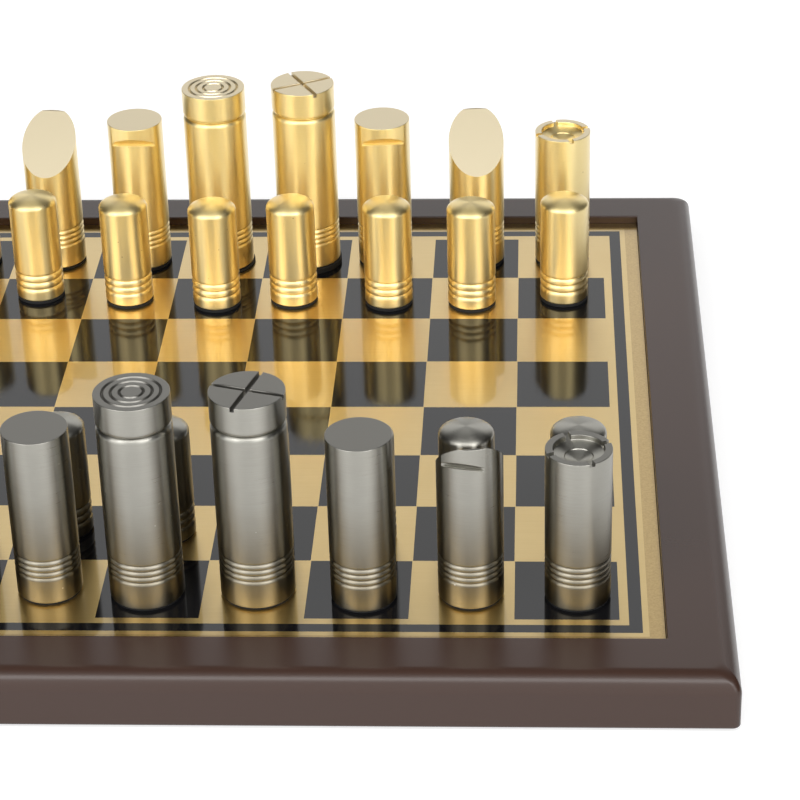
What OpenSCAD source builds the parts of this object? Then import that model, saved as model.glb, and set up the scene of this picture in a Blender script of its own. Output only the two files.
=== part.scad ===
// Chess set: turned metal chessmen standing on an enamelled brass board in a dark moulded frame.
// Units are millimetres, +Z is up, the origin is on the table under the middle of the board.

/* [Board] */
// Width of one playing square
square = 35; // [28:0.5:48]
// Plain brass gap between the squares and the border line
border_gap = 3; // [1:0.1:6]
// Width of the dark enamel border line
border_line_w = 4.4; // [2:0.1:8]
// Plain brass margin between the border line and the rails
brass_margin = 7.5; // [4:0.1:14]
// Thickness of the brass playing plate
plate_t = 2; // [1.2:0.1:4]
// Depth of the enamel let into the brass
enamel_t = 0.3; // [0.2:0.05:0.6]
// Brass left showing round each enamel square, so that corners never join
enamel_inset = 0.1; // [0.05:0.05:0.4]

/* [Frame] */
// Width of a rail seen from above
rail_w = 23.1; // [16:0.1:40]
// Height of a rail without its feet
rail_h = 19.7; // [14:0.1:30]
// How far the playing plate lies below the top of the rails
recess = 3.3; // [1:0.1:6]
// Rounding of the outer top edge of the rails
rail_round = 6.8; // [2:0.1:9]
// Rounding of the outer bottom edge of the rails
rail_foot_round = 1.2; // [0.5:0.1:2]
// Rounding of the frame corners seen from above
corner_round = 2.2; // [2:0.1:6]
// Width of the ledge in each rail that carries the base panel
ledge_w = 8; // [5:0.5:14]
// Thickness of that ledge
ledge_t = 5; // [2.5:0.1:7]
// Thickness of the wooden splines let into the mitred corners
spline_t = 2; // [1.5:0.1:3]
// Diameter of the felt feet
foot_d = 18; // [10:0.5:24]
// Thickness of the felt feet
foot_t = 1.2; // [0.8:0.1:3]

/* [Chessmen] */
// Diameter of the king and the queen
royal_d = 25.3; // [18:0.1:30]
// Height of the king without its pad
king_h = 77.3; // [60:0.1:95]
// Height of the queen without its pad
queen_h = 77.3; // [60:0.1:95]
// Diameter of the bishops, knights and rooks
minor_d = 22.2; // [16:0.1:27]
// Height of the bishops without their pads
bishop_h = 62.7; // [50:0.1:75]
// Height of the knights without their pads
knight_h = 62; // [50:0.1:75]
// Height of the rooks without their pads
rook_h = 56.9; // [45:0.1:70]
// Diameter of the pawns
pawn_d = 19.2; // [14:0.1:23]
// Height of the pawns without their pads
pawn_h = 43.5; // [34:0.1:55]
// Chamfer round the bottom edge of every chessman
base_edge = 0.5; // [0.2:0.1:1]
// Thickness of the black pad under a brass chessman
gold_pad_t = 1.2; // [0.6:0.1:2]
// Thickness of the black pad under the brass king
king_pad_t = 2.4; // [0.6:0.1:3]
// Thickness of the black pad under a grey chessman
grey_pad_t = 0.6; // [0.4:0.1:2]
// How far the pads of the brass king and queen stand out beyond the metal
royal_pad_lip = 0.5; // [0.1:0.1:1]
// How far the other brass men's pads lie inside the edge of the metal
gold_pad_inset = 0.15; // [0.05:0.05:1]
// How far the grey men's pads lie inside the edge of the metal
grey_pad_inset = 0.5; // [0.05:0.05:1]

/* [Turned rings] */
// Height over the bottom edge where the rings of king and queen begin
royal_ring_z = 9.4; // [7:0.1:13]
// Height over the bottom edge where the rings of bishop, knight and rook begin
minor_ring_z = 8.9; // [7:0.1:13]
// Spacing of the rings on the big pieces
ring_pitch = 2.2; // [1.8:0.02:3]
// Radius of the ring moulding on the big pieces
ring_r = 1.25; // [1.15:0.01:1.8]
// Height over the bottom edge where the rings of the pawns begin
pawn_ring_z = 3.6; // [2.8:0.1:7]
// Spacing of the rings on the pawns
pawn_ring_pitch = 2.98; // [2.2:0.02:3.6]
// Radius of the ring moulding on the pawns
pawn_ring_r = 2; // [1.85:0.05:2.6]

/* [Tops] */
// Height of the head disc of king and queen
head_h = 9.4; // [6:0.1:14]
// Radius of the rounded edges on both sides of the neck, and its depth
neck_r = 1.7; // [1:0.1:2.4]
// Width of the two crossing slots in a king
king_slot_w = 1.5; // [0.8:0.1:2.5]
// Depth of those slots
king_slot_t = 1.4; // [0.8:0.1:3]
// Radius of the inner ring groove in a queen, as a share of the radius
queen_ring_in = 0.31; // [0.25:0.01:0.4]
// Radius of the middle ring groove, as a share of the radius
queen_ring_mid = 0.54; // [0.48:0.01:0.62]
// Radius of the outer ring groove, as a share of the radius
queen_ring_out = 0.76; // [0.7:0.01:0.85]
// Width of the ring grooves in a queen
queen_groove_w = 1.1; // [0.6:0.1:1.4]
// Depth of the ring grooves in a queen
queen_groove_t = 0.8; // [0.4:0.1:1.5]
// Lowest point of the notch in the bishops and in the back of the knights, below their tops
notch_drop = 8.5; // [6:0.1:14]
// Height of the notch at its flat inner end
notch_w = 1.2; // [0.8:0.1:2]
// Rise of the lower face of the notch, up and outwards
notch_rise_low = 24; // [10:1:30]
// Rise of the upper face of the notch, up and outwards
notch_rise_top = 39; // [32:1:48]
// Share of the radius that the notch of a bishop leaves standing behind it
notch_stop = 0.64; // [0.4:0.01:0.8]
// Slope of the slanted face of a knight
knight_slope = 44; // [38:1:50]
// Share of the radius at which the slant meets the flat tip of a knight
knight_tip = 0.91; // [0.8:0.01:0.95]
// Share of the radius that the back notch of a knight leaves standing behind it
knight_notch_stop = 0.76; // [0.5:0.01:0.85]
// Turn of the back notch of a knight against its slanted face
knight_notch_turn = -20; // [-30:1:30]
// Width of the rim round the hollow in a rook
rook_rim = 2.6; // [1.8:0.1:4]
// Depth of the straight wall of that hollow
rook_wall = 1.8; // [0.6:0.1:2.4]
// Depth of the hollow in its middle
rook_cone = 5.1; // [3.5:0.1:8]
// Radius of the fine step in the cone of that hollow
rook_step = 4.6; // [3:0.1:6]
// Width of the four notches in the rim of a rook
rook_notch_w = 1.9; // [1:0.1:2.5]
// Depth of those notches
rook_notch_t = 1; // [0.6:0.1:2]
// Radius of the rounded top edge of a pawn
pawn_round = 2.5; // [1.5:0.1:4]
// Rise of the domed top of a pawn
pawn_dome = 0.9; // [0.3:0.1:1.5]

/* [Hidden] */
// Play left round the plate and the panel inside the rails
fit = 0.2;
// Gap kept under every chessman so that nothing overlaps at rest
stand_gap = 0.05;
// Glue line round a spline and over a pad
glue = 0.05;
// How far a foot lies outside the inner edge of the ledge
foot_clear = 0.1;
// Small overlap used where one cut has to pass a surface
over = 0.5;
// Smoothness of the turned parts
$fn = 96;

field = square * 4;
line_in = field + border_gap;
line_out = line_in + border_line_w;
lip = line_out + brass_margin;
outer = lip + rail_w;
top_z = foot_t + rail_h;
play_z = top_z - recess;
plate_z = play_z - plate_t;
panel_z = foot_t + ledge_t;
stand_z = play_z + stand_gap;
spline_l = rail_w * 0.8;
spline_w = rail_w * 0.36;
spline_z = foot_t + rail_h * 0.44;
spline_at = outer - rail_w / 2;
foot_at = lip - ledge_w + foot_clear + foot_d / 2;

// Place of each chessman on its file: sideways shift, shift up the board, turn
gold_back = [[0.5, -0.7, 12], [1, 0, -7], [2, -0.8, 0], [0, -2.1, 0],
             [1, -1.4, 28], [-2.5, -0.8, 5], [0.5, -0.2, 3], [0.5, -0.7, 19]];
gold_front = [[0, 0], [-2, 4.3], [0, 0], [1, -3.4], [-3, -0.5], [0.5, -2.5], [-1, -3.6], [1, 0.9]];
grey_back = [[-0.5, 0.5, 40], [0.5, -1, 176], [0, 0.3, 183], [-1.5, -1.5, 0],
             [1, -0.4, -17], [2, -3.8, 178], [3, -1.9, 186.6], [3.7, -2.8, 23]];
grey_front = [[0, -1.2], [0.5, -0.2], [-0.2, 2.8], [1.3, 0.7],
              [0.8, -2.3], [1.8, -2.3], [1, -1], [4.2, -0.2]];

// ---- frame -------------------------------------------------------------

// The outermost w millimetres of a rail's section: x runs outwards, y up from the underside.
module rail_section(w) {
  difference() {
    square([w, rail_h]);
    translate([w - rail_round, rail_h - rail_round])
      difference() {
        square([rail_round + over, rail_round + over]);
        circle(rail_round);
      }
    translate([w - rail_foot_round, rail_foot_round])
      mirror([0, 1])
        difference() {
          square([rail_foot_round + over, rail_foot_round + over]);
          circle(rail_foot_round);
        }
  }
}

// Straight run of moulding along X, on the near side of the board.
module rail_run() {
  run = 2 * (outer - corner_round);
  translate([-run / 2, -lip, foot_t])
    rotate([90, 0, 90])
      mirror([1, 0, 0])
        linear_extrude(height = run)
          rail_section(rail_w);
}

// Rounded end of the moulding, turned about the centre of the corner.
module rail_corner(side) {
  translate([side * (outer - corner_round), -(outer - corner_round), foot_t])
    rotate([0, 0, side > 0 ? -90 : 180])
      rotate_extrude(angle = 90)
        rail_section(corner_round);
}

// Half the plan of a frame side: everything nearer to this side than to its neighbours.
module mitre_wedge() {
  far = outer + 20;
  near = lip - ledge_w - 1;
  translate([0, 0, -1])
    linear_extrude(height = top_z + 2)
      polygon([[-near, -near], [near, -near], [far, -far], [-far, -far]]);
}

// Slots across the two mitres of a side, each taking half of a spline.
module spline_slot() {
  for (s = [-1, 1])
    translate([s * spline_at, -spline_at, spline_z - spline_t / 2])
      rotate([0, 0, s * 45])
        translate([-spline_l / 2, -spline_w / 3, 0])
          cube([spline_l, spline_w, spline_t]);
}

// One mitred side with its ledge, as it lies on the near side.
module rail_side() {
  difference() {
    intersection() {
      union() {
        rail_run();
        rail_corner(1);
        rail_corner(-1);
        translate([-lip, -lip - 1, foot_t])
          cube([2 * lip, ledge_w + 1, ledge_t]);
      }
      mitre_wedge();
    }
    spline_slot();
  }
}

module rail_front() {
  color([0.33, 0.27, 0.24])
    rail_side();
}

module rail_back() {
  color([0.33, 0.27, 0.24])
    rotate([0, 0, 180])
      rail_side();
}

module rail_left() {
  color([0.33, 0.27, 0.24])
    rotate([0, 0, -90])
      rail_side();
}

module rail_right() {
  color([0.33, 0.27, 0.24])
    rotate([0, 0, 90])
      rail_side();
}

// Thin wooden keys glued across the four mitres, inside the wood.
module corner_splines() {
  color([0.5, 0.36, 0.24])
    for (a = [0:90:270])
      rotate([0, 0, a])
        translate([spline_at, -spline_at, spline_z - spline_t / 2 + glue])
          rotate([0, 0, 45])
            translate([-spline_l / 2 + glue, -spline_w / 3 + glue, 0])
              cube([spline_l - 2 * glue, spline_w - 2 * glue, spline_t - 2 * glue]);
}

module felt_feet() {
  color([0.12, 0.12, 0.12])
    for (x = [-1, 1])
      for (y = [-1, 1])
        translate([x * foot_at, y * foot_at, 0])
          cylinder(d = foot_d, h = foot_t);
}

// ---- board -------------------------------------------------------------

module base_panel() {
  color([0.45, 0.33, 0.22])
    translate([-(lip - fit), -(lip - fit), panel_z])
      cube([2 * (lip - fit), 2 * (lip - fit), plate_z - panel_z]);
}

// The dark squares; the near right-hand corner is one of them.
module enamel_fields(extra) {
  for (i = [0:7])
    for (j = [0:7])
      if ((i + j) % 2 == 1)
        translate([(i - 4) * square + enamel_inset,
                   (j - 4) * square + enamel_inset,
                   play_z - enamel_t])
          cube([square - 2 * enamel_inset, square - 2 * enamel_inset, enamel_t + extra]);
}

module enamel_line(extra) {
  difference() {
    translate([-line_out, -line_out, play_z - enamel_t])
      cube([2 * line_out, 2 * line_out, enamel_t + extra]);
    translate([-line_in, -line_in, play_z - enamel_t - over])
      cube([2 * line_in, 2 * line_in, enamel_t + extra + 2 * over]);
  }
}

module playing_plate() {
  color([0.85, 0.72, 0.45])
    difference() {
      translate([-(lip - fit), -(lip - fit), plate_z])
        cube([2 * (lip - fit), 2 * (lip - fit), plate_t]);
      enamel_fields(over);
      enamel_line(over);
    }
}

module dark_squares() {
  color([0.08, 0.08, 0.09])
    enamel_fields(0);
}

module border_line() {
  color([0.08, 0.08, 0.09])
    enamel_line(0);
}

// ---- chessmen ----------------------------------------------------------

// Outline of a turned piece from its bottom up: base, three or two rings, straight body.
module turned_outline(r, h, z0, pitch, ring, rings) {
  z1 = z0 + (rings + 1) * pitch;
  polygon([[0, 0], [r - base_edge, 0], [r, base_edge], [r, z0], [0, z0]]);
  translate([0, z0 - 1])
    square([r - ring, z1 - z0 + 2]);
  for (i = [0:rings + 1])
    translate([r - ring, z0 + i * pitch])
      circle(ring);
  translate([0, z1])
    square([r, h - z1]);
}

module minor_blank(h) {
  rotate_extrude()
    turned_outline(minor_d / 2, h, minor_ring_z, ring_pitch, ring_r, 3);
}

// Blank of king and queen: body, neck between two rounded edges, head disc.
module royal_blank(h) {
  r = royal_d / 2;
  low = h - head_h;
  rotate_extrude() {
    turned_outline(r, low - 2 * neck_r, royal_ring_z, ring_pitch, ring_r, 3);
    translate([0, low - 2 * neck_r - 1])
      square([r - neck_r, 2 * neck_r + 2]);
    translate([r - neck_r, low - 2 * neck_r])
      circle(neck_r);
    translate([r - neck_r, low])
      circle(neck_r);
    translate([0, low])
      square([r, head_h]);
  }
}

module king_shape() {
  difference() {
    royal_blank(king_h);
    for (a = [0, 90])
      rotate([0, 0, a])
        translate([-royal_d, -king_slot_w / 2, king_h - king_slot_t])
          cube([2 * royal_d, king_slot_w, king_slot_t + over]);
  }
}

module queen_shape() {
  difference() {
    royal_blank(queen_h);
    for (s = [queen_ring_in, queen_ring_mid, queen_ring_out])
      rotate_extrude()
        translate([s * royal_d / 2, queen_h])
          scale([queen_groove_w / 2, queen_groove_t])
            rotate(45)
              square(sqrt(2), center = true);
  }
}

// Wedge notch in the near side of a piece with its top at h, cut straight across.
module notch(h, stop) {
  r = minor_d / 2;
  run = r;
  translate([-2 * r, -stop * r, h - notch_drop])
    rotate([90, 0, 90])
      linear_extrude(height = 4 * r)
        polygon([[0, 0], [0, notch_w], [-run, notch_w + run * tan(notch_rise_top)],
                 [-run, run * tan(notch_rise_low)]]);
}

module bishop_shape() {
  difference() {
    minor_blank(bishop_h);
    notch(bishop_h, notch_stop);
  }
}

module knight_shape() {
  r = minor_d / 2;
  difference() {
    minor_blank(knight_h);
    translate([-2 * r, knight_tip * r, knight_h])
      rotate([knight_slope, 0, 0])
        translate([0, -4 * r, 0])
          cube([4 * r, 4 * r, 2 * r]);
    rotate([0, 0, 180 + knight_notch_turn])
      notch(knight_h, knight_notch_stop);
  }
}

module rook_shape() {
  r = minor_d / 2;
  hole = r - rook_rim;
  fall = (rook_cone - rook_wall) / hole;
  difference() {
    minor_blank(rook_h);
    rotate_extrude()
      polygon([[0, rook_h - rook_cone],
               [rook_step, rook_h - rook_cone + rook_step * fall],
               [rook_step + 0.2, rook_h - rook_cone + rook_step * fall + 0.3],
               [hole, rook_h - rook_wall], [hole, rook_h + over], [0, rook_h + over]]);
    for (a = [0, 90])
      rotate([0, 0, a])
        translate([-2 * r, -rook_notch_w / 2, rook_h - rook_notch_t])
          cube([4 * r, rook_notch_w, rook_notch_t + over]);
  }
}

// The dome is a slice of a big ball that meets the rounded edge without a break.
module pawn_shape() {
  r = pawn_d / 2;
  flat = r - pawn_round;
  edge_z = pawn_h - pawn_dome - pawn_round;
  sink = (flat * flat - pawn_dome * pawn_dome) / (2 * pawn_dome);
  ball = pawn_round + pawn_dome + sink;
  meet = flat * ball / (ball - pawn_round);
  rotate_extrude() {
    turned_outline(r, edge_z, pawn_ring_z, pawn_ring_pitch, pawn_ring_r, 2);
    translate([flat, edge_z])
      circle(pawn_round);
    translate([0, edge_z - 1])
      square([flat, pawn_round + 1]);
    intersection() {
      translate([0, edge_z - sink])
        circle(ball, $fn = 360);
      translate([0, edge_z - 1])
        square([meet, pawn_round + pawn_dome + 2]);
    }
  }
}

module pad(d, t) {
  cylinder(d = d, h = t - glue);
}

// Puts a piece on its square, on a pad of the given thickness: file 0..7 from the left,
// rank 0..7 from the near side.
module on_square(file, rank, place, pad_t = 0) {
  translate([(file - 3.5) * square + place[0], (rank - 3.5) * square + place[1],
             stand_z + pad_t])
    rotate([0, 0, len(place) > 2 ? place[2] : 0])
      children();
}

module gold() {
  color([0.86, 0.7, 0.4])
    children();
}

module grey() {
  color([0.62, 0.61, 0.58])
    children();
}

module black() {
  color([0.07, 0.07, 0.07])
    children();
}

// A pawn is turned metal with its own pad disc glued under it.
module pawn(file, rank, place, pad_t, pad_inset) {
  on_square(file, rank, place, pad_t)
    pawn_shape();
  on_square(file, rank, place)
    pad(pawn_d - 2 * pad_inset, pad_t);
}

module gold_rook_a() {
  gold()
    on_square(0, 7, gold_back[0], gold_pad_t)
      rook_shape();
}

module gold_knight_b() {
  gold()
    on_square(1, 7, gold_back[1], gold_pad_t)
      knight_shape();
}

module gold_bishop_c() {
  gold()
    on_square(2, 7, gold_back[2], gold_pad_t)
      bishop_shape();
}

module gold_queen_d() {
  gold()
    on_square(3, 7, gold_back[3], gold_pad_t)
      queen_shape();
}

module gold_king_e() {
  gold()
    on_square(4, 7, gold_back[4], king_pad_t)
      king_shape();
}

module gold_bishop_f() {
  gold()
    on_square(5, 7, gold_back[5], gold_pad_t)
      bishop_shape();
}

module gold_knight_g() {
  gold()
    on_square(6, 7, gold_back[6], gold_pad_t)
      knight_shape();
}

module gold_rook_h() {
  gold()
    on_square(7, 7, gold_back[7], gold_pad_t)
      rook_shape();
}

module gold_rook_a_pad() {
  black()
    on_square(0, 7, gold_back[0])
      pad(minor_d - 2 * gold_pad_inset, gold_pad_t);
}

module gold_knight_b_pad() {
  black()
    on_square(1, 7, gold_back[1])
      pad(minor_d - 2 * gold_pad_inset, gold_pad_t);
}

module gold_bishop_c_pad() {
  black()
    on_square(2, 7, gold_back[2])
      pad(minor_d - 2 * gold_pad_inset, gold_pad_t);
}

module gold_queen_d_pad() {
  black()
    on_square(3, 7, gold_back[3])
      pad(royal_d + 2 * royal_pad_lip, gold_pad_t);
}

module gold_king_e_pad() {
  black()
    on_square(4, 7, gold_back[4])
      pad(royal_d + 2 * royal_pad_lip, king_pad_t);
}

module gold_bishop_f_pad() {
  black()
    on_square(5, 7, gold_back[5])
      pad(minor_d - 2 * gold_pad_inset, gold_pad_t);
}

module gold_knight_g_pad() {
  black()
    on_square(6, 7, gold_back[6])
      pad(minor_d - 2 * gold_pad_inset, gold_pad_t);
}

module gold_rook_h_pad() {
  black()
    on_square(7, 7, gold_back[7])
      pad(minor_d - 2 * gold_pad_inset, gold_pad_t);
}

module gold_pawn_a() {
  gold()
    pawn(0, 6, gold_front[0], gold_pad_t, gold_pad_inset);
}

module gold_pawn_b() {
  gold()
    pawn(1, 6, gold_front[1], gold_pad_t, gold_pad_inset);
}

module gold_pawn_c() {
  gold()
    pawn(2, 6, gold_front[2], gold_pad_t, gold_pad_inset);
}

module gold_pawn_d() {
  gold()
    pawn(3, 6, gold_front[3], gold_pad_t, gold_pad_inset);
}

module gold_pawn_e() {
  gold()
    pawn(4, 6, gold_front[4], gold_pad_t, gold_pad_inset);
}

module gold_pawn_f() {
  gold()
    pawn(5, 6, gold_front[5], gold_pad_t, gold_pad_inset);
}

module gold_pawn_g() {
  gold()
    pawn(6, 6, gold_front[6], gold_pad_t, gold_pad_inset);
}

module gold_pawn_h() {
  gold()
    pawn(7, 6, gold_front[7], gold_pad_t, gold_pad_inset);
}

module grey_rook_a() {
  grey()
    on_square(0, 0, grey_back[0], grey_pad_t)
      rook_shape();
}

module grey_knight_b() {
  grey()
    on_square(1, 0, grey_back[1], grey_pad_t)
      knight_shape();
}

module grey_bishop_c() {
  grey()
    on_square(2, 0, grey_back[2], grey_pad_t)
      bishop_shape();
}

module grey_queen_d() {
  grey()
    on_square(3, 0, grey_back[3], grey_pad_t)
      queen_shape();
}

module grey_king_e() {
  grey()
    on_square(4, 0, grey_back[4], grey_pad_t)
      king_shape();
}

module grey_bishop_f() {
  grey()
    on_square(5, 0, grey_back[5], grey_pad_t)
      bishop_shape();
}

module grey_knight_g() {
  grey()
    on_square(6, 0, grey_back[6], grey_pad_t)
      knight_shape();
}

module grey_rook_h() {
  grey()
    on_square(7, 0, grey_back[7], grey_pad_t)
      rook_shape();
}

module grey_rook_a_pad() {
  black()
    on_square(0, 0, grey_back[0])
      pad(minor_d - 2 * grey_pad_inset, grey_pad_t);
}

module grey_knight_b_pad() {
  black()
    on_square(1, 0, grey_back[1])
      pad(minor_d - 2 * grey_pad_inset, grey_pad_t);
}

module grey_bishop_c_pad() {
  black()
    on_square(2, 0, grey_back[2])
      pad(minor_d - 2 * grey_pad_inset, grey_pad_t);
}

module grey_queen_d_pad() {
  black()
    on_square(3, 0, grey_back[3])
      pad(royal_d - 2 * grey_pad_inset, grey_pad_t);
}

module grey_king_e_pad() {
  black()
    on_square(4, 0, grey_back[4])
      pad(royal_d - 2 * grey_pad_inset, grey_pad_t);
}

module grey_bishop_f_pad() {
  black()
    on_square(5, 0, grey_back[5])
      pad(minor_d - 2 * grey_pad_inset, grey_pad_t);
}

module grey_knight_g_pad() {
  black()
    on_square(6, 0, grey_back[6])
      pad(minor_d - 2 * grey_pad_inset, grey_pad_t);
}

module grey_rook_h_pad() {
  black()
    on_square(7, 0, grey_back[7])
      pad(minor_d - 2 * grey_pad_inset, grey_pad_t);
}

module grey_pawn_a() {
  grey()
    pawn(0, 1, grey_front[0], grey_pad_t, grey_pad_inset);
}

module grey_pawn_b() {
  grey()
    pawn(1, 1, grey_front[1], grey_pad_t, grey_pad_inset);
}

module grey_pawn_c() {
  grey()
    pawn(2, 1, grey_front[2], grey_pad_t, grey_pad_inset);
}

module grey_pawn_d() {
  grey()
    pawn(3, 1, grey_front[3], grey_pad_t, grey_pad_inset);
}

module grey_pawn_e() {
  grey()
    pawn(4, 1, grey_front[4], grey_pad_t, grey_pad_inset);
}

module grey_pawn_f() {
  grey()
    pawn(5, 1, grey_front[5], grey_pad_t, grey_pad_inset);
}

module grey_pawn_g() {
  grey()
    pawn(6, 1, grey_front[6], grey_pad_t, grey_pad_inset);
}

module grey_pawn_h() {
  grey()
    pawn(7, 1, grey_front[7], grey_pad_t, grey_pad_inset);
}

rail_front();
rail_back();
rail_left();
rail_right();
corner_splines();
felt_feet();
base_panel();
playing_plate();
dark_squares();
border_line();
gold_rook_a();
gold_knight_b();
gold_bishop_c();
gold_queen_d();
gold_king_e();
gold_bishop_f();
gold_knight_g();
gold_rook_h();
gold_rook_a_pad();
gold_knight_b_pad();
gold_bishop_c_pad();
gold_queen_d_pad();
gold_king_e_pad();
gold_bishop_f_pad();
gold_knight_g_pad();
gold_rook_h_pad();
gold_pawn_a();
gold_pawn_b();
gold_pawn_c();
gold_pawn_d();
gold_pawn_e();
gold_pawn_f();
gold_pawn_g();
gold_pawn_h();
grey_rook_a();
grey_knight_b();
grey_bishop_c();
grey_queen_d();
grey_king_e();
grey_bishop_f();
grey_knight_g();
grey_rook_h();
grey_rook_a_pad();
grey_knight_b_pad();
grey_bishop_c_pad();
grey_queen_d_pad();
grey_king_e_pad();
grey_bishop_f_pad();
grey_knight_g_pad();
grey_rook_h_pad();
grey_pawn_a();
grey_pawn_b();
grey_pawn_c();
grey_pawn_d();
grey_pawn_e();
grey_pawn_f();
grey_pawn_g();
grey_pawn_h();
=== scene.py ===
"""Turned metal chessmen on an enamelled brass board in a lacquered frame: their looks.

Sizes are in metres here, the millimetres of the real pieces times MM. Every man is one profile
carried round its own axis, whose corners shift with the azimuth where a slot, a notch or a slant
cuts into the bar.
"""

import bmesh
import bpy
import numpy as np
from mathutils import Matrix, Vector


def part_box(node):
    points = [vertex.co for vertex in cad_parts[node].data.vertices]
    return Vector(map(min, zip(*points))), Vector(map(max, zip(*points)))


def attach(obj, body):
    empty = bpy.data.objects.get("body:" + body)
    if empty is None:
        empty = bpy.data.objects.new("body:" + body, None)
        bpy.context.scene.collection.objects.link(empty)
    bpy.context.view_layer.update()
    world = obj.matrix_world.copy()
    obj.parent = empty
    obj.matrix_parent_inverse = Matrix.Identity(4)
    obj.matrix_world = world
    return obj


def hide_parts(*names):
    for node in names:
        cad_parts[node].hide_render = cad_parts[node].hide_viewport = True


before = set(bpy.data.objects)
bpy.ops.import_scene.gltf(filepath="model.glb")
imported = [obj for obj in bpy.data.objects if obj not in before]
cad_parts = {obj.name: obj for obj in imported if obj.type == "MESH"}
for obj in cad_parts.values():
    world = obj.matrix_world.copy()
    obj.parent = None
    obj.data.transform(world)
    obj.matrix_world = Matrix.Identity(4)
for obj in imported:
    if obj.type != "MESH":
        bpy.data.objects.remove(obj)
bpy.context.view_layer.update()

MM = 0.001
SAME = 1e-6  # lengths below this count as nothing
SHARP = np.radians(38)  # edges that turn by more than this stay sharp
FILES = "abcdefgh"
BACK_RANK = ("rook", "knight", "bishop", "queen", "king", "bishop", "knight", "rook")

# How each back-rank man is turned on its square, in degrees, file by file.
TURNS = {
    "gold": (12, -7, 0, 0, 28, 5, 3, 19),
    "grey": (40, 176, 183, 0, -17, 178, 186.6, 23),
}

# Radii of the three bars, and heights of the men without their pads, in millimetres.
THICK, MEDIUM, THIN = 12.65, 11.1, 9.6
KING, QUEEN, BISHOP, KNIGHT, ROOK, PAWN = 77.3, 77.3, 62.7, 62.0, 56.9, 43.5


# ---- meshes -----------------------------------------------------------------

# Where along its curve an eased corner has its rows, and how much of a side one corner and the
# point beyond it may take.
EASED_AT = (0.0, 0.3, 0.7, 1.0)
CORNER_SHARE, BEYOND_SHARE, BEYOND = 0.45, 0.48, 1.5
ROWS_A_CORNER = len(EASED_AT) + 2


def softened(path, reach):
    """Corners of many polylines eased at once: path is (columns, points, 2), reach (points - 2).

    Corner P between neighbours A and B becomes the curve (1-t)^2 a + 2t(1-t) P + t^2 b, where a
    and b lie on PA and PB at the corner's reach, or at 45% of the side where that is shorter. One
    more point half as far again out on each side keeps the flats beside it flat.
    """
    reach = np.broadcast_to(np.asarray(reach, float), path[:, 1:-1, 0].shape)[..., None]
    corner, before, after = path[:, 1:-1], path[:, :-2], path[:, 2:]
    rows = []
    for other in (before, after):
        side = other - corner
        long = np.linalg.norm(side, axis=2, keepdims=True)
        unit = side / np.maximum(long, SAME)
        near = np.minimum(reach, CORNER_SHARE * long)
        beyond = np.minimum(BEYOND * near, BEYOND_SHARE * long)
        rows.append((corner + unit * near, corner + unit * beyond))
    (a, a_far), (b, b_far) = rows
    steps = [a_far]
    for t in EASED_AT:
        steps.append((1 - t) ** 2 * a + 2 * t * (1 - t) * corner + t**2 * b)
    steps.append(b_far)
    eased = np.stack(steps, axis=2).reshape(len(path), -1, 2)
    return np.concatenate([path[:, :1], eased, path[:, -1:]], axis=1)


def grid_mesh(name, points, uv, closed, materials, row_material=None):
    """A mesh over a grid of points (columns, rows, 3), with uv (columns or one more, rows, 2).

    Where closed, the last column joins the first. Points in the same place are merged, so that
    poles and collapsed rows close.
    """
    columns, rows = points.shape[:2]
    last = columns if closed else columns - 1
    i, k = np.meshgrid(np.arange(last), np.arange(rows - 1), indexing="ij")
    i, k = i.ravel(), k.ravel()
    j = (i + 1) % columns
    quads = np.stack([i * rows + k, j * rows + k, j * rows + k + 1, i * rows + k + 1], 1)
    mesh = bpy.data.meshes.new(name)
    mesh.from_pydata(points.reshape(-1, 3), [], quads)
    corners = np.stack([uv[i, k], uv[i + 1, k], uv[i + 1, k + 1], uv[i, k + 1]], 1)
    layer = mesh.uv_layers.new(name="Turning")
    layer.data.foreach_set("uv", corners.astype(np.float32).ravel())
    for material in materials:
        mesh.materials.append(material)
    if row_material is not None:
        mesh.polygons.foreach_set("material_index", np.asarray(row_material, np.int32)[k])
    work = bmesh.new()
    work.from_mesh(mesh)
    bmesh.ops.remove_doubles(work, verts=work.verts, dist=SAME)
    work.to_mesh(mesh)
    work.free()
    mesh.polygons.foreach_set("use_smooth", np.ones(len(mesh.polygons), bool))
    mesh.set_sharp_from_angle(angle=SHARP)
    piece = bpy.data.objects.new(name, mesh)
    bpy.context.scene.collection.objects.link(piece)
    return piece


def turned(name, azimuth, path, place, materials, row_material=None):
    """A profile (columns, rows, 2) of radius and height carried round an upright axis.

    The surface is x = r cos a, y = r sin a, z = z over azimuth a in degrees. place is the foot
    of the axis and its turn. u runs once round, v is the way travelled along the profile.
    """
    x0, y0, z0, turn = place
    a = np.radians(azimuth + turn)[:, None]
    r, z = path[..., 0], path[..., 1]
    points = np.stack([x0 + r * np.cos(a), y0 + r * np.sin(a), z0 + z], axis=2)
    step = np.linalg.norm(np.diff(path, axis=1), axis=2)
    v = np.concatenate([np.zeros((len(path), 1)), np.cumsum(step, axis=1)], axis=1)
    u = np.broadcast_to((azimuth / 360)[:, None], v.shape)
    uv = np.stack([u, v], axis=2)
    uv = np.concatenate([uv, uv[:1] + (1, 0)], axis=0)
    return grid_mesh(name, points, uv, True, materials, row_material)


def azimuths(breaks=(), count=120):
    """An even ring of azimuths in degrees with every break put in exactly, in place of the even
    ones that stand within half a degree of it."""
    even = np.arange(count) * 360 / count
    breaks = np.sort(np.mod(np.asarray(breaks, float), 360))
    if len(breaks):
        gap = np.abs((even[:, None] - breaks + 180) % 360 - 180).min(axis=1)
        even = even[gap > 0.5]
    return np.sort(np.concatenate([even, breaks]))


def both_sides(angles, hair=1e-4):
    """Each break as a pair, a hair before and a hair after it."""
    return np.concatenate([np.asarray(angles) - hair, np.asarray(angles) + hair])


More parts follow.
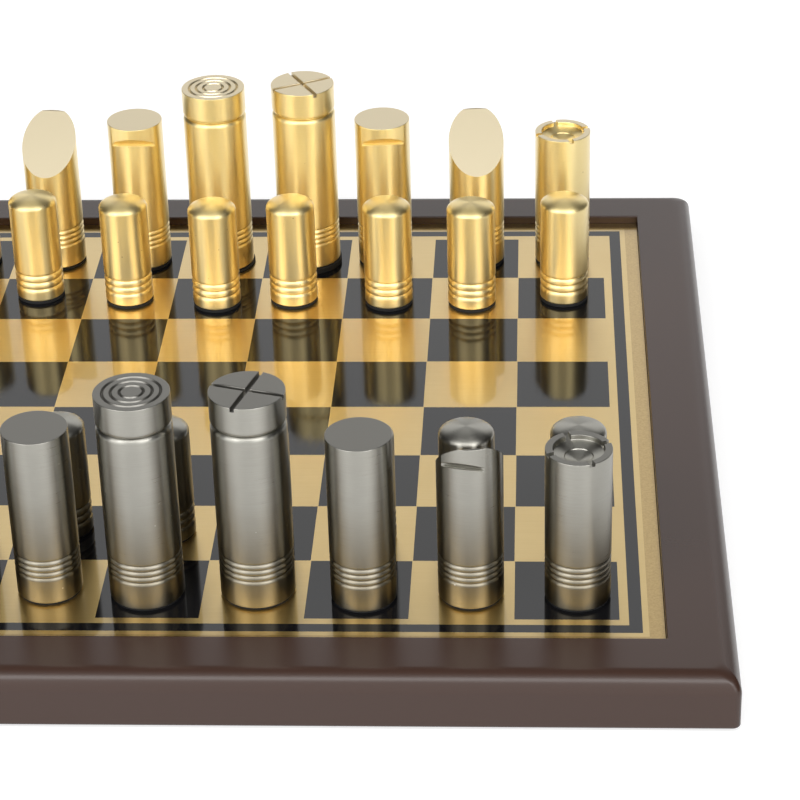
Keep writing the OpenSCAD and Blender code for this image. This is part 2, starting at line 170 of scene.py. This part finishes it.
# ---- profiles of the bar ------------------------------------------------------

QUARTERS = (0, 90, 180, 270)
CUT_ROUND = 144  # columns round a man whose top is cut
NECK_LOW, NECK_ROUND = 9.4, 1.7  # where the neck is narrowest, under the top, and its two rounds
NOTCH_LOW, NOTCH_HIGH = 8.5, 1.2  # foot of a wedge notch under the top, height of its inner end
DOME = 3.4  # height of the pawn's dome
EDGE = 0.22  # how far the edge between side and top is eased
CREASE = 0.12  # how far the edges of notches and grooves are eased


def ringed_body(radius, first, pitch, bead, rings, top):
    """Profile of the bar from its bottom up: base, beads with sharp valleys between, straight body.

    Each bead is an arc r = R - b + sqrt(b^2 - (z - zi)^2) of radius b about its own height zi,
    cut off half a pitch away. The base ends in half a bead, and so the body begins. The edge of
    the foot is cut back by 0.5 mm.
    """
    points = [(0, 0), (radius - 0.62, 0), (radius - 0.5, 0.04), (radius - 0.04, 0.5)]
    points += [(radius, 0.62), (radius, 0.9), (radius, first - 0.4)]
    for n in range(rings + 2):
        low = -0.5 if n else 0.0
        high = 0.5 if n < rings + 1 else 0.0
        for z in pitch * np.linspace(low, high, 11 if n and n < rings + 1 else 6):
            points.append((radius - bead + (bead**2 - z**2) ** 0.5, first + n * pitch + z))
    end = first + (rings + 1) * pitch
    points += [(radius, end + 0.4), (radius, end + 2)]
    points += [(radius, z) for z in np.linspace(end + 6, top, 4)]
    return np.array(points)


ROYAL = dict(first=9.4, pitch=2.2, bead=1.25, rings=3)
MINOR = dict(first=8.9, pitch=2.2, bead=1.25, rings=3)
SMALL = dict(first=3.6, pitch=2.98, bead=2.0, rings=2)


def neck(radius, height):
    """The neck of king and queen: two quarter rounds of 1.7 mm that meet 1.7 mm deep, the lower
    one closing the body and the upper one opening the head disc."""
    low, nr = height - NECK_LOW, NECK_ROUND
    turn = np.radians(np.linspace(0, 90, 9))
    lower = np.stack([radius - nr + nr * np.cos(turn), low - 2 * nr + nr * np.sin(turn)], 1)
    upper = np.stack([radius - nr + nr * np.sin(turn), low - nr * np.cos(turn)], 1)
    return np.concatenate([lower, upper[1:]])


def stacked(body, top, reach):
    """The fixed profile of the body under a top whose corners differ from column to column, in
    metres, and the number of rows in the body. Where reach is None the top is round already."""
    body = np.broadcast_to(body, (len(top),) + body.shape)
    if reach is not None:
        top = softened(np.concatenate([body[:, -1:], top], axis=1), reach)[:, 1:]
    return np.concatenate([body, top], axis=1) * MM, body.shape[1]


def corners(*pairs):
    """Corner points (radius, height) of a top, each a number or one value a column."""
    size = max(np.size(v) for pair in pairs for v in pair)
    return np.stack([np.stack([np.broadcast_to(v, size) for v in pair], 1) for pair in pairs], 1)


def slot_edges(slot, radius):
    """Azimuths where the sides of two crossing slots of one width meet a circle."""
    half = np.degrees(np.arcsin(slot / 2 / radius))
    return [q + s * half for q in QUARTERS for s in (-1, 1)]


def off_slots(a):
    """min(|sin a|, |cos a|): the way off the nearer slot's middle, for a radius of one."""
    return np.minimum(np.abs(np.sin(np.radians(a))), np.abs(np.cos(np.radians(a))))


def king_top(radius, height):
    """Two crossing saw slots, 1.5 mm wide and 1.4 mm deep: a ray at azimuth a leaves the top and
    drops to the slot floor at radius 0.75 / min(|sin a|, |cos a|), or runs in the slot all along.
    The slot's edge is eased by 0.3 mm square to the slot, the foot of its wall hardly at all."""
    slot, floor, eased, foot = 1.5, height - 1.4, 0.3, 0.05
    a = azimuths(both_sides(slot_edges(slot, radius)), CUT_ROUND)
    across = off_slots(a)
    meet = np.minimum(slot / 2 / np.maximum(across, SAME), radius)
    wall = np.where(meet < radius, height, floor)
    top = corners((radius, floor), (radius, wall), (meet, wall), (meet, floor), (0, floor))
    soft = eased / np.maximum(across, 0.15)
    reach = np.stack(np.broadcast_arrays(0, EDGE, soft, foot), 1)
    return a, top, reach


def queen_top(radius, height):
    """Three ring grooves of V section, 1.1 mm wide and 0.8 mm deep, round a flat button."""
    a = azimuths()
    half, deep = 0.55, 0.8
    pairs, reach = [(radius, height)], [EDGE]
    for share in (0.76, 0.54, 0.31):
        middle = share * radius
        pairs += [(middle + half, height), (middle, height - deep), (middle - half, height)]
        reach += [CREASE] * 3
    top = corners(*[(0 * a + r, z) for r, z in pairs + [(0, height)]])
    return a, top, reach


def wedge_notch(a, facing, radius, height, stop):
    """Corners of a wedge notch cut straight across the bar, facing one azimuth.

    Its flat inner end stands the share stop of the radius off the axis and is 1.2 mm high, 8.5 mm
    under the top. Its lower face rises outwards at 24 degrees and its upper one at 39.
    """
    low_rise, high_rise = np.tan(np.radians((24, 39)))
    off = np.cos(np.radians(a - facing))
    inside = off > stop
    inner = np.where(inside, stop * radius / np.maximum(off, stop), radius)
    run = np.where(inside, radius * off - stop * radius, 0)
    low = height - NOTCH_LOW
    high = low + NOTCH_HIGH
    return [(radius, low + run * low_rise), (inner, 0 * a + low),
            (inner, 0 * a + high), (radius, high + run * high_rise)]


def notch_ends(facing, stop):
    """Azimuths where a wedge notch runs out of the bar."""
    half = np.degrees(np.arccos(stop))
    return [facing - half, facing + half]


def bishop_top(radius, height):
    """A flat top over a wedge notch in the near side."""
    facing, stop = 270, 0.64
    a = azimuths(notch_ends(facing, stop), CUT_ROUND)
    top = corners(*wedge_notch(a, facing, radius, height, stop), (radius, height), (0, height))
    return a, top, [CREASE] * 4 + [EDGE]


def knight_top(radius, height):
    """A plane that falls at 44 degrees from a flat tip to the near side, z = h - (0.91 R - y) tan 44,
    and a wedge notch in the back, turned 20 degrees."""
    facing, stop, slope, tip = 70, 0.76, np.tan(np.radians(44)), 0.91
    crest = np.degrees(np.arcsin(tip))
    a = azimuths(notch_ends(facing, stop) + [crest, 180 - crest], CUT_ROUND)
    y = np.sin(np.radians(a))
    wall = np.where(y > tip - SAME, height, height - (tip - y) * radius * slope)
    ridge = np.where(y > tip, tip * radius / np.maximum(y, tip), radius)
    notch = [(r, np.minimum(z, wall)) for r, z in wedge_notch(a, facing, radius, height, stop)]
    centre = height - tip * radius * slope
    top = corners(*notch, (radius, wall), (ridge, wall), (0, centre))
    return a, top, [CREASE] * 4 + [EDGE, CREASE]


def rook_top(radius, height):
    """A hollow with a straight wall 1.8 mm deep inside a 2.6 mm rim, a cone with one fine step at a
    radius of 4.6 mm, and two shallow slots 1.9 mm wide across the rim that open it at four places."""
    slot, floor, hole = 1.9, height - 1.0, radius - 2.6
    wall_foot, point, step, step_out, step_up = height - 1.8, height - 5.1, 4.6, 0.2, 0.3
    a = azimuths(np.concatenate([both_sides(slot_edges(slot, radius)), slot_edges(slot, hole)]), CUT_ROUND)
    reached = slot / 2 / np.maximum(off_slots(a), SAME)
    wall = np.where(reached < radius, height, floor)
    meet = np.clip(reached, hole, radius)
    ledge = point + step * (wall_foot - point) / hole
    top = corners((radius, floor), (radius, wall), (meet, wall), (meet, floor), (hole, wall_foot),
                  (step + step_out, ledge + step_up), (step, ledge), (0, point))
    return a, top, [0, 0.2, 0.3, 0.05, 0.25, 0.1, 0.1]


def pawn_top(radius, height):
    """A dome 3.4 mm high with full shoulders: r = R (cos t)^p, z = h - d + d (sin t)^p, p = 0.84."""
    a = azimuths()
    full = 0.84
    t = np.radians(np.linspace(0, 90, 33)[:-1])
    dome = np.stack([radius * np.cos(t) ** full, height - DOME + DOME * np.sin(t) ** full], 1)
    dome = np.vstack([dome, (0, height)])
    return a, np.broadcast_to(dome, (len(a),) + dome.shape), None


# Radius, height and the cut of the top, kind by kind.
TOPS = {
    "king": (THICK, KING, king_top),
    "queen": (THICK, QUEEN, queen_top),
    "bishop": (MEDIUM, BISHOP, bishop_top),
    "knight": (MEDIUM, KNIGHT, knight_top),
    "rook": (MEDIUM, ROOK, rook_top),
    "pawn": (THIN, PAWN, pawn_top),
}


def man_profile(kind):
    """Azimuths, profile in metres and the number of rows under the top, for one kind of man."""
    radius, height, make_top = TOPS[kind]
    a, top, reach = make_top(radius, height)
    spare = 0.6  # straight bar left under the dome or the neck
    if kind == "pawn":
        body = ringed_body(radius, top=height - DOME - spare, **SMALL)
    elif kind in ("king", "queen"):
        body = ringed_body(radius, top=height - NECK_LOW - 2 * NECK_ROUND - spare, **ROYAL)
        head = [(radius, height - 8.8), (radius, height - 5)]
        body = np.concatenate([body, neck(radius, height), head])
    else:
        # The straight bar ends below the lowest cut: the knight's slant or the notches.
        body = ringed_body(radius, top=height - (22 if kind == "knight" else 9.5), **MINOR)
    return (a, *stacked(body, top, reach))


# ---- materials ------------------------------------------------------------------


def colour(code):
    """An sRGB hex value as linear light."""
    s = np.array([int(code[n : n + 2], 16) for n in (0, 2, 4)]) / 255
    return (*np.where(s <= 0.04045, s / 12.92, ((s + 0.055) / 1.055) ** 2.4), 1.0)


def add(tree, kind, inputs=None, **settings):
    """One node with its settings. Each input is a value or another node's output."""
    made = tree.nodes.new(kind)
    for key, value in settings.items():
        setattr(made, key, value)
    for key, value in (inputs or {}).items():
        if isinstance(value, bpy.types.NodeSocket):
            tree.links.new(value, made.inputs[key])
        else:
            made.inputs[key].default_value = value
    return made


def surface(name, **shader):
    """A material with one principled shader, whose inputs are given by name."""
    material = bpy.data.materials.new(name)
    material.use_nodes = True
    tree = material.node_tree
    tree.nodes.clear()
    main = add(tree, "ShaderNodeBsdfPrincipled", {k.replace("_", " "): v for k, v in shader.items()})
    add(tree, "ShaderNodeOutputMaterial", {"Surface": main.outputs["BSDF"]})
    return material, tree, main


def maths(tree, operation, *values):
    """The result of one step of arithmetic."""
    return add(tree, "ShaderNodeMath", dict(enumerate(values)), operation=operation).outputs[0]


def blend(tree, share, low, high):
    """Two colours mixed: low where share is 0 and high where it is 1."""
    return add(tree, "ShaderNodeMix", {0: share, "A": low, "B": high}, data_type="RGBA").outputs[2]


def rescaled(tree, value, start, end, low=0.0, high=1.0):
    """A value's range from start to end, moved to low and high and held there beyond it."""
    ends = {"Value": value, "From Min": start, "From Max": end, "To Min": low, "To Max": high}
    return add(tree, "ShaderNodeMapRange", ends).outputs["Result"]


def spot(tree):
    """The place on the object, in metres."""
    return add(tree, "ShaderNodeTexCoord").outputs["Object"]


def noise(tree, place, fine, detail=3.0, **more):
    """Cloudy noise from 0 to 1 with fine patches a metre: one number, or one for each axis."""
    if np.ndim(fine):
        place = add(tree, "ShaderNodeMapping", {"Vector": place, "Scale": fine}).outputs["Vector"]
        fine = 1.0
    inputs = {"Vector": place, "Scale": fine, "Detail": detail, **more}
    return add(tree, "ShaderNodeTexNoise", inputs).outputs["Fac"]


def relief(tree, main, height, strength, depth):
    """Lets a height from 0 to 1 stand out of the surface, depth metres deep."""
    bump = add(tree, "ShaderNodeBump", {"Height": height, "Strength": strength, "Distance": depth})
    tree.links.new(bump.outputs["Normal"], main.inputs["Normal"])


def turned_metal(name, light, dark, roughness, drawn, foot, mark, lacquer):
    """Bar turned on a lathe and brushed round: light is drawn out along the bar, and fine scratches
    of uneven depth circle it. drawn is how far the light is drawn out, foot the colour of a warm
    reflection of the brass board painted on the lowest third, mark the colour of small nicks, and
    lacquer the share of a clear satin coat. v of the uv map is the way along the profile, in metres."""
    material, tree, main = surface(name, Metallic=1.0, Roughness=roughness, Anisotropic=drawn,
                                   Anisotropic_Rotation=0.25, Coat_Weight=lacquer, Coat_Roughness=0.3)
    uv = add(tree, "ShaderNodeUVMap", uv_map="Turning")
    parts = add(tree, "ShaderNodeSeparateXYZ", {"Vector": uv.outputs["UV"]})
    # Scratches lie 0.25 mm apart along the bar and wander over about a radian round it.
    along = maths(tree, "MULTIPLY", parts.outputs["Y"], 4000.0)
    around = maths(tree, "MULTIPLY", parts.outputs["X"], 2 * np.pi)
    ring = {"X": maths(tree, "COSINE", around), "Y": maths(tree, "SINE", around), "Z": along}
    line = add(tree, "ShaderNodeCombineXYZ", ring)
    scratch = noise(tree, line.outputs["Vector"], 1.0, Roughness=0.6)
    place = spot(tree)
    cloud = noise(tree, place, 120.0)
    tone = maths(tree, "MULTIPLY", scratch, 0.6)
    tone = maths(tree, "MULTIPLY_ADD", cloud, 0.4, tone)
    metal = blend(tree, tone, colour(dark), colour(light))
    # v is 10 to 13 mm at the edge of the underside, so the painted reflection of the board runs out
    # 43 mm up the bar.
    low = rescaled(tree, parts.outputs["Y"], 0.055, 0.016)
    # Painted reflection: the warm of the brass board laid into the colour of the bar's lowest part.
    with_painted_reflection = blend(tree, low, metal, colour(foot))
    # Nicks up to 0.5 mm across, about a dozen on each man.
    nicks = add(tree, "ShaderNodeTexVoronoi", {"Vector": place, "Scale": 160.0})
    nick = rescaled(tree, nicks.outputs["Distance"], 0.05, 0.03, 0.0, 0.6)
    tree.links.new(blend(tree, nick, with_painted_reflection, colour(mark)), main.inputs["Base Color"])
    rough = rescaled(tree, scratch, 0.25, 0.75, roughness - 0.02, roughness + 0.03)
    tree.links.new(rough, main.inputs["Roughness"])
    relief(tree, main, scratch, 0.018, 0.04 * MM)
    tangent = add(tree, "ShaderNodeTangent", direction_type="UV_MAP", uv_map="Turning")
    tree.links.new(tangent.outputs["Tangent"], main.inputs["Tangent"])
    return material


def sawn_face(name, base, roughness):
    """A sawn and linished face: fine straight grain up the slope, even satin gloss."""
    material, tree, main = surface(name, Base_Color=colour(base), Metallic=1.0, Roughness=roughness)
    # The grain's lines are a third of a millimetre apart and 7 mm long.
    grain = noise(tree, spot(tree), (3000.0, 150.0, 150.0), detail=2.0)
    relief(tree, main, grain, 0.1, 0.04 * MM)
    return material


def mottled(name, dark, light, size, roughness, spread, depth, stretch=(1, 1, 1), **shader):
    """A finish whose tone and gloss wander over patches of size millimetres, drawn out by stretch.
    spread is how far the roughness goes either way and depth that of the patches in mm."""
    material, tree, main = surface(name, **shader)
    patch = noise(tree, spot(tree), tuple(1000 / size / n for n in stretch))
    tree.links.new(blend(tree, patch, colour(dark), colour(light)), main.inputs["Base Color"])
    rough = rescaled(tree, patch, 0.3, 0.7, roughness - spread, roughness + spread)
    tree.links.new(rough, main.inputs["Roughness"])
    relief(tree, main, patch, 0.5, depth * MM)
    return material


def rolled_brass(name, border):
    """Rolled brass sheet under clear gloss lacquer: a warm pale metal with a fine rolled grain, and
    a sharp faint mirror image of the men on top. Beyond border metres from the middle, outside the
    border line, the sheet is left sanded and duller."""
    material, tree, main = surface(name, Metallic=1.0, Roughness=0.32, Coat_Weight=1.0, Coat_Roughness=0.04)
    place = spot(tree)
    # The grain's lines are 0.3 mm apart and 20 mm long.
    grain = noise(tree, place, (50.0, 3300.0, 50.0))
    tone = maths(tree, "MULTIPLY", grain, noise(tree, place, 45.0, detail=4.0))
    field = blend(tree, tone, colour("DABB76"), colour("EFD494"))
    edging = blend(tree, noise(tree, place, 1400.0), colour("AD8C4E"), colour("D8B974"))
    parts = add(tree, "ShaderNodeSeparateXYZ", {"Vector": place})
    off = [maths(tree, "ABSOLUTE", parts.outputs[axis]) for axis in "XY"]
    outside = maths(tree, "GREATER_THAN", maths(tree, "MAXIMUM", *off), border)
    tree.links.new(blend(tree, outside, field, edging), main.inputs["Base Color"])
    relief(tree, main, grain, 0.08, 0.05 * MM)
    return material


def sprayed_lacquer(name, base, roughness):
    """Sprayed polyurethane lacquer over fine fibreboard: satin, with a faint orange peel."""
    material, tree, main = surface(name, Base_Color=colour(base), Roughness=roughness)
    relief(tree, main, noise(tree, spot(tree), 900.0, detail=2.0), 0.08, 0.05 * MM)
    return material


# The men: pale warm brass under a clear satin coat, and bare warm grey gunmetal plate.
# foot is a painted reflection: the warm of the brass board laid on the lowest third of each man.
brass_bar = turned_metal("Brass bar turned and brushed", light="FFECAC", dark="F8DD94", roughness=0.39,
                         drawn=0.82, foot="FFE5A2", mark="9A7640", lacquer=1.0)
grey_bar = turned_metal("Gunmetal plated bar turned and brushed", light="B0AEA6", dark="96948C", roughness=0.29,
                        drawn=0.93, foot="8A8270", mark="E4E2DC", lacquer=0.0)
# Their ends, paler and flatter than the bar, and the knights' slants, duller still: sanded, and
# given a painted shade, a darker colour that tones down the front light's highlight on them.
brass_cut = sawn_face("Brass faced and linished", "EDDFBE", 0.4)
grey_cut = sawn_face("Gunmetal faced and linished", "8A8882", 0.4)
brass_slope = sawn_face("Brass sawn and sanded, shade painted in", "CCC0A3", 0.42)
grey_slope = sawn_face("Gunmetal sawn and sanded, shade painted in", "7E7C76", 0.42)
# Natural rubber pad: black, dull, a little dusty.
pad_rubber = mottled("Black rubber pad", "101010", "1C1C1C", size=0.6, roughness=0.75, spread=0.08, depth=0.02)
# The board's sheet metal: warm pale brass that shines.
board_brass = rolled_brass("Rolled brass under gloss lacquer", border=0.1495)
# Stoved enamel: black, hard gloss that mirrors what stands on it, with the long faint ripple of a
# wiped fill.
enamel = mottled("Black stoved enamel", "0E0E10", "141416", size=1.5, roughness=0.08, spread=0.02,
                 depth=0.0008, stretch=(1, 8, 8), IOR=1.55)
# Dark brown satin on the frame.
frame_lacquer = sprayed_lacquer("Brown satin lacquer on fibreboard", "3C2921", 0.27)
# Dense wool felt: black, fully matt, with a slight nap.
felt = mottled("Black felt", "19191A", "252526", size=0.4, roughness=0.94, spread=0.04, depth=0.05,
               Sheen_Weight=0.3)
# Medium-density fibreboard, sealed: brown, dull, fine fibres.
panel = mottled("Sealed fibreboard", "6E523A", "86684C", size=1.2, roughness=0.6, spread=0.08, depth=0.02)
# Beech splines inside the joints, with the flecks of the wood along them.
beech = mottled("Beech", "AD8258", "C49A70", size=0.5, roughness=0.6, spread=0.06, depth=0.02,
                stretch=(1, 8, 1))


# ---- the men --------------------------------------------------------------------

PROFILES = {kind: man_profile(kind) for kind in TOPS}

# Between which corners of its top a man is faced rather than turned.
FACED = {"king": (1, 9), "queen": (0, 20), "bishop": (4, 9), "knight": (4, 9), "rook": (1, 2), "pawn": (0, 0)}
GLUE = 0.05  # between a man and his pad


def stand(name, kind, metal, cut, turn):
    """One man and his pad, on the spot where the node called name stands."""
    body = name + "_man"
    brass, royal = name.startswith("gold"), kind in ("king", "queen")
    pad_height = (2.4 if kind == "king" else 1.2) if brass else 0.6
    low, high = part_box(name)
    x, y, top = (low.x + high.x) / 2, (low.y + high.y) / 2, high.z
    a, path, rows = PROFILES[kind]
    row_material = np.zeros(path.shape[1] - 1, int)
    first, last = FACED[kind]
    if last:
        middle = rows + ROWS_A_CORNER // 2
        row_material[middle + ROWS_A_CORNER * first : middle + ROWS_A_CORNER * last] = 1
    bottom = top - TOPS[kind][1] * MM
    man = turned(name + "_metal", a, path, (x, y, bottom, turn), [metal, cut], row_material)
    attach(man, body)
    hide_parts(name)
    # The pad stands out past the brass kings and queens and is set in under the other men.
    lip = (0.5 if royal else -0.15) if brass else -0.5
    radius, thick = TOPS[kind][0] + lip, pad_height - GLUE
    outline = np.array([[(0, 0), (radius, 0), (radius, thick), (0, thick)]], float)
    a = azimuths(count=96)
    disc = softened(outline, [0.15, 0.2])
    disc = np.broadcast_to(disc, (len(a),) + disc.shape[1:]) * MM
    pad = turned(name + "_foot", a, disc, (x, y, bottom - pad_height * MM, turn), [pad_rubber])
    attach(pad, body)
    if kind != "pawn":
        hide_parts(name + "_pad")


for side, metal, cut, slope in (("gold", brass_bar, brass_cut, brass_slope),
                                ("grey", grey_bar, grey_cut, grey_slope)):
    for file, kind, turn in zip(FILES, BACK_RANK, TURNS[side]):
        stand(f"{side}_{kind}_{file}", kind, metal, slope if kind == "knight" else cut, turn)
        stand(f"{side}_pawn_{file}", "pawn", metal, cut, 0)


# ---- the frame --------------------------------------------------------------------

LIP, OUTER, FOOT = 154.9, 178.0, 1.2  # inner and outer face from the middle, height of the feet
WIDE, TALL, ROUND = 23.1, 19.7, 6.8  # a rail's section and the round on its outer top edge
HEM, BEAD = 1.2, 0.45  # the rounds on its outer bottom edge and its inner top edge
CORNER = 2.2  # the round of the frame's corners as seen from above


def rail_profile():
    """Closed section of a rail as (way outwards from the lip, height over the underside), mm."""
    def arc(cx, cz, r, start, end, count):
        turn = np.radians(np.linspace(start, end, count))
        return [(cx + r * np.cos(t), cz + r * np.sin(t)) for t in turn]

    return np.array([(-8, 5), (-8, 0.2), (-7.8, 0), (-4, 0), (4, 0), (14, 0)]
                    + arc(WIDE - HEM, HEM, HEM, -90, 0, 7)
                    + [(WIDE, 1.8), (WIDE, 7), (WIDE, 12.4)]
                    + arc(WIDE - ROUND, TALL - ROUND, ROUND, 0, 90, 25)
                    + [(15.6, TALL), (9, TALL), (3, TALL), (1, TALL)]
                    + arc(BEAD, TALL - BEAD, BEAD, 90, 180, 6)
                    + [(0, 18.5), (0, 11), (0, 5.05), (-0.05, 5), (-4, 5)])


def rail(name, quarter):
    """One mitred rail: the section carried along the side and round half of each corner.

    A point d outwards of the middle runs straight along y = -d, then turns 45 degrees on an arc
    of radius q, in x = d - q + q sin t and y = -(d - q + q cos t). q is 2.2 mm at the outer face
    and grows by a third of the way inwards over the rounded edge, so that the corner is eased.
    quarter counts how often the near side is turned by 90 degrees.
    """
    section = rail_profile()
    out = section[:, 0]
    d = LIP + out
    q = np.where(out > 0.5, np.minimum(CORNER + (OUTER - d) / 3, 0.5 * out), 0)
    turn = np.radians(np.linspace(0, 45, 11))[:, None]
    right_x = d - q + q * np.sin(turn)
    right_y = -(d - q + q * np.cos(turn))
    inner = np.linspace(-1, 1, 13)[1:-1, None] * (d - q - 2)
    x = np.concatenate([-right_x[::-1], inner, right_x])
    y = np.concatenate([right_y[::-1], np.broadcast_to(-d, inner.shape), right_y])
    z = np.broadcast_to(FOOT + section[:, 1], x.shape)
    spin = np.radians(90 * quarter)
    px = x * np.cos(spin) - y * np.sin(spin)
    py = x * np.sin(spin) + y * np.cos(spin)
    points = np.stack([px, py, z], 2) * MM
    points = np.concatenate([points, points[:, :1]], axis=1)
    step = np.linalg.norm(np.diff(np.vstack([section, section[:1]]), axis=0), axis=1)
    way = np.concatenate([[0], np.cumsum(step)])
    uv = np.stack(np.broadcast_arrays(x[:, :1], way), 2) * MM
    piece = grid_mesh(name + "_lacquered", points, uv, False, [frame_lacquer])
    close_ends(piece)
    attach(piece, "board")
    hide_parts(name)


def close_ends(piece):
    """Caps the two open mitre ends and points every face outwards."""
    work = bmesh.new()
    work.from_mesh(piece.data)
    open_edges = [e for e in work.edges if e.is_boundary]
    bmesh.ops.holes_fill(work, edges=open_edges, sides=0)
    bmesh.ops.recalc_face_normals(work, faces=work.faces)
    work.to_mesh(piece.data)
    work.free()
    piece.data.set_sharp_from_angle(angle=SHARP)


for quarter, side in enumerate(("rail_front", "rail_right", "rail_back", "rail_left")):
    rail(side, quarter)

# The parts that keep their own shape and only take a finish.
for node, material in (("playing_plate", board_brass), ("dark_squares", enamel), ("border_line", enamel),
                       ("base_panel", panel), ("corner_splines", beech), ("felt_feet", felt)):
    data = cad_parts[node].data
    data.materials.clear()
    data.materials.append(material)


# ---- studio --------------------------------------------------------------------------

scene = bpy.context.scene
scene.view_settings.view_transform = "Standard"
FLOOR_REACH, FLOOR_GLOW = 6, 0.68


def paper_floor():
    """A sweep of matt white paper, 12 m square. It glows a little where it is seen straight or in
    a mirror, which keeps it white, and sheds none of that on the board."""
    paper, tree, main = surface("White paper sweep", Base_Color=colour("B8B8B8"), Roughness=0.9)
    far = FLOOR_REACH
    mesh = bpy.data.meshes.new("floor")
    mesh.from_pydata([(-far, -far, 0), (far, -far, 0), (far, far, 0), (-far, far, 0)], [], [(0, 1, 2, 3)])
    mesh.materials.append(paper)
    floor = bpy.data.objects.new("floor", mesh)
    scene.collection.objects.link(floor)
    rays = add(tree, "ShaderNodeLightPath")
    seen = maths(tree, "ADD", rays.outputs["Is Camera Ray"], rays.outputs["Is Glossy Ray"])
    seen = maths(tree, "ADD", seen, rays.outputs["Is Transmission Ray"])
    glow = add(tree, "ShaderNodeEmission", {"Strength": maths(tree, "MULTIPLY", seen, FLOOR_GLOW)})
    both = add(tree, "ShaderNodeAddShader", {0: main.outputs["BSDF"], 1: glow.outputs["Emission"]})
    end = next(n for n in tree.nodes if n.type == "OUTPUT_MATERIAL")
    tree.links.new(both.outputs[0], end.inputs["Surface"])


paper_floor()

# How bright the walls are at bearings in degrees, 0 at the front and 180 behind.
WALLS = [(-180, 1.0), (-160, 1.0), (-140, 0.05), (-100, 0.03), (-80, 0.15), (-61, 1.95),
         (-32, 1.95), (-14, 1.15), (10, 1.25), (24, 1.98), (39, 1.98), (54, 0.4), (68, 0.03),
         (135, 0.03), (158, 1.0), (180, 1.0)]
BRIGHTEST = 2.0


def studio_walls():
    """The studio round the table: a white sweep behind, dark side walls, two tall bright screens
    left and right of the front, and a ceiling that is dim behind and half bright in front."""
    world = bpy.data.worlds.new("Studio")
    scene.world = world
    world.use_nodes = True
    tree = world.node_tree
    tree.nodes.clear()
    way = add(tree, "ShaderNodeTexCoord")
    part = add(tree, "ShaderNodeSeparateXYZ", {"Vector": way.outputs["Generated"]}).outputs
    bearing = maths(tree, "ARCTAN2", part["X"], maths(tree, "MULTIPLY", part["Y"], -1.0))
    turn = maths(tree, "MULTIPLY_ADD", bearing, 0.5 / np.pi, 0.5)
    walls = add(tree, "ShaderNodeValToRGB", {"Fac": turn})
    ramp = walls.color_ramp
    while len(ramp.elements) < len(WALLS):
        ramp.elements.new(0.5)
    for element, (degrees, strength) in zip(ramp.elements, WALLS):
        element.position = degrees / 360 + 0.5
        element.color = (*[strength / BRIGHTEST] * 3, 1)
    # The walls give way to the ceiling between 37 and 44 degrees up, and the ceiling brightens
    # from just behind the table to 17 degrees in front of it.
    high = rescaled(tree, part["Z"], 0.6, 0.7)
    roof = rescaled(tree, part["Y"], 0.1, -0.3, 0.06, 0.5)
    light = blend(tree, high, walls.outputs["Color"], roof)
    rays = add(tree, "ShaderNodeLightPath")
    white = (*[1 / BRIGHTEST] * 3, 1)
    shade = blend(tree, rays.outputs["Is Camera Ray"], light, white)
    sky = add(tree, "ShaderNodeBackground", {"Color": shade, "Strength": BRIGHTEST})
    add(tree, "ShaderNodeOutputWorld", {"Surface": sky.outputs["Background"]})


studio_walls()


def lamp(name, at, aim, size, power):
    """A soft rectangular lamp at a point, aimed at another."""
    data = bpy.data.lights.new(name, "AREA")
    data.shape = "RECTANGLE"
    data.size, data.size_y = size
    data.energy = power
    made = bpy.data.objects.new(name, data)
    made.location = at
    way = np.subtract(aim, at)
    made.rotation_euler = (np.arctan2(np.hypot(way[0], way[1]), -way[2]), 0, np.arctan2(-way[0], way[1]))
    scene.collection.objects.link(made)


lamp("Softbox left", (-1.2, -1.2, 1.15), (0, 0, 0), (1.4, 1.4), 5)
lamp("Softbox right", (1.1, -1.3, 1.15), (0, 0, 0), (1.2, 1.4), 4)
lamp("Softbox front", (0.05, -0.75, 0.95), (0.05, -0.1, 0), (1.7, 0.35), 6.5)


def place_camera(at, right, ahead, lens):
    """The view from a point: ahead is where it looks, right is made square to that, and up is
    square to both."""
    view = bpy.data.cameras.new("Camera")
    view.sensor_width = 36
    view.lens = lens
    view.clip_start = 0.05
    camera = bpy.data.objects.new("Camera", view)
    scene.collection.objects.link(camera)
    scene.camera = camera
    right, ahead = np.array(right), np.array(ahead)
    right -= ahead * (right @ ahead) / (ahead @ ahead)
    right /= np.linalg.norm(right)
    ahead /= np.linalg.norm(ahead)
    matrix = np.eye(4)
    matrix[:3] = np.stack([right, np.cross(right, ahead), -ahead, at], 1)
    camera.matrix_world = Matrix(matrix.tolist())


place_camera(at=(0.11225, -0.88554, 0.53336), right=(0.99875, 0.04330, -0.02473),
             ahead=(-0.04987, 0.86436, -0.50045), lens=122.58)
